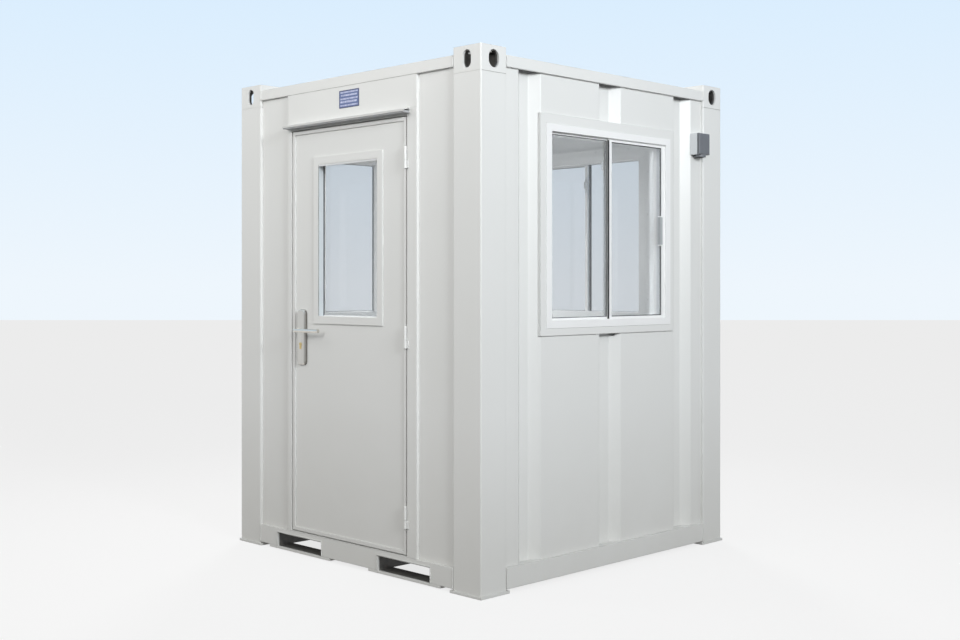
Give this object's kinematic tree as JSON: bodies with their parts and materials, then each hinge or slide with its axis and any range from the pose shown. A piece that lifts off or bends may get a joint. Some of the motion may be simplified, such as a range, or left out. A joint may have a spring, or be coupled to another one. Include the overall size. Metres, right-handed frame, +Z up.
{
  "type": "security guard booth",
  "caption": "Small square steel guard booth with a glazed hinged door, sliding windows, lifting castings and fork pockets.",
  "frame": {"origin": "on the ground at the centre of the plan, midway between the four corner posts", "axes": "+Z up, the front with the door faces -Y, the wall with the main window faces +X"},
  "size_m": [1.881, 1.8945, 2.438],
  "materials": {
    "booth_paint": "satin grey-white paint on steel",
    "white_frame": "smooth white",
    "glass": "clear, slightly blue",
    "lining": "white vinyl-faced board",
    "floor": "grey vinyl sheet",
    "stainless": "satin stainless",
    "brass": "turned brass",
    "white_plastic": "moulded white",
    "dark_plastic": "moulded dark grey"
  },
  "bodies": {
    "booth": {"back_bottom_rail": "booth_paint", "back_left_casting": "booth_paint", "back_left_post": "booth_paint", "back_right_casting": "booth_paint", "back_right_post": "booth_paint", "back_top_rail": "booth_paint", "back_wall_lining": "lining", "back_wall_sheet": "booth_paint", "back_window_frame": "white_frame", "back_window_glass": "glass", "back_window_sash": "white_frame", "back_window_surround": "booth_paint", "ceiling_panel": "lining", "door_frame": "booth_paint", "drip_rail": "booth_paint", "floor_bearers": "booth_paint", "floor_deck": "floor", "foot_plates": "booth_paint", "frame_hinges": "booth_paint", "front_bottom_rail": "booth_paint", "front_header": "booth_paint", "front_left_casting": "booth_paint", "front_left_post": "booth_paint", "front_left_wall": "booth_paint", "front_right_casting": "booth_paint", "front_right_post": "booth_paint", "front_right_wall": "booth_paint", "front_top_rail": "booth_paint", "left_bottom_rail": "booth_paint", "left_fork_pocket": "booth_paint", "left_top_rail": "booth_paint", "left_wall_lining": "lining", "left_wall_sheet": "booth_paint", "left_window_frame": "white_frame", "left_window_glass": "glass", "left_window_sash": "white_frame", "left_window_surround": "booth_paint", "power_inlet_box": "white_plastic", "power_inlet_cover": "dark_plastic", "power_inlet_socket": "dark_plastic", "right_bottom_rail": "booth_paint", "right_fork_pocket": "booth_paint", "right_top_rail": "booth_paint", "right_wall_lining": "lining", "right_wall_sheet": "booth_paint", "right_window_frame": "white_frame", "right_window_glass": "glass", "right_window_sash": "white_frame", "right_window_surround": "booth_paint", "roof_panel": "booth_paint"},
    "door": {"door_leaf": "booth_paint", "door_outer_trim": "booth_paint", "door_inner_trim": "booth_paint", "door_glass": "glass", "leaf_hinges": "booth_paint", "outer_handle_plate": "stainless", "inner_handle_plate": "stainless", "lock_cylinder": "brass"},
    "lever": {"lever_handle": "stainless"}
  },
  "joints": [
    {"name": "door_swing", "type": "hinge", "parent": "booth", "child": "door", "pos_m": [0.422, -0.9205, 1.13], "axis": [0, 0, 1], "range_deg": [0, 160]},
    {"name": "lever_turn", "type": "hinge", "parent": "door", "child": "lever", "pos_m": [-0.3783, -0.889, 1.147], "axis": [0, 1, 0], "range_deg": [0, 45], "stiffness_Nm_per_rad": 1.2, "springref_deg": -20.05}
  ]
}
